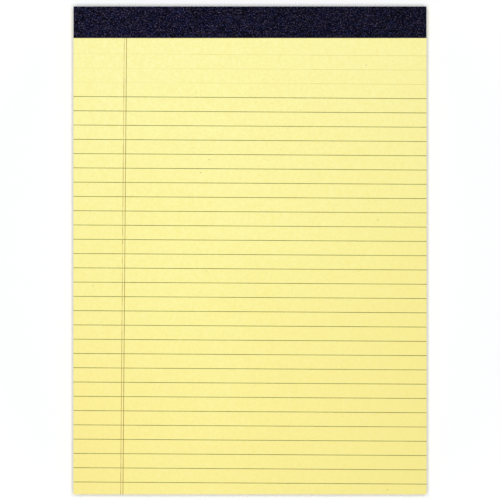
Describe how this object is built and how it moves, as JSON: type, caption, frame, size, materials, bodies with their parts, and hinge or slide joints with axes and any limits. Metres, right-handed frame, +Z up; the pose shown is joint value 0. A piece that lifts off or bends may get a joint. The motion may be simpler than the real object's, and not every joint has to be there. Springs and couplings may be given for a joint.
{
  "type": "legal pad",
  "caption": "Yellow ruled writing pad, bound across its head by a dark folded tape over a chipboard back.",
  "frame": {"origin": "under the middle of the pad, on the surface that it rests on", "axes": "+X across the page to the right, +Y up the page to the bound head, +Z up out of the first sheet"},
  "size_m": [0.216, 0.2984, 0.0054],
  "materials": {
    "paper": "matte",
    "chipboard": "matte",
    "tape": "satin",
    "wire": "satin"
  },
  "bodies": {
    "root": {"pages": "paper", "backing_board": "chipboard", "binding_tape": "tape", "wire_staples": "wire"}
  },
  "joints": []
}
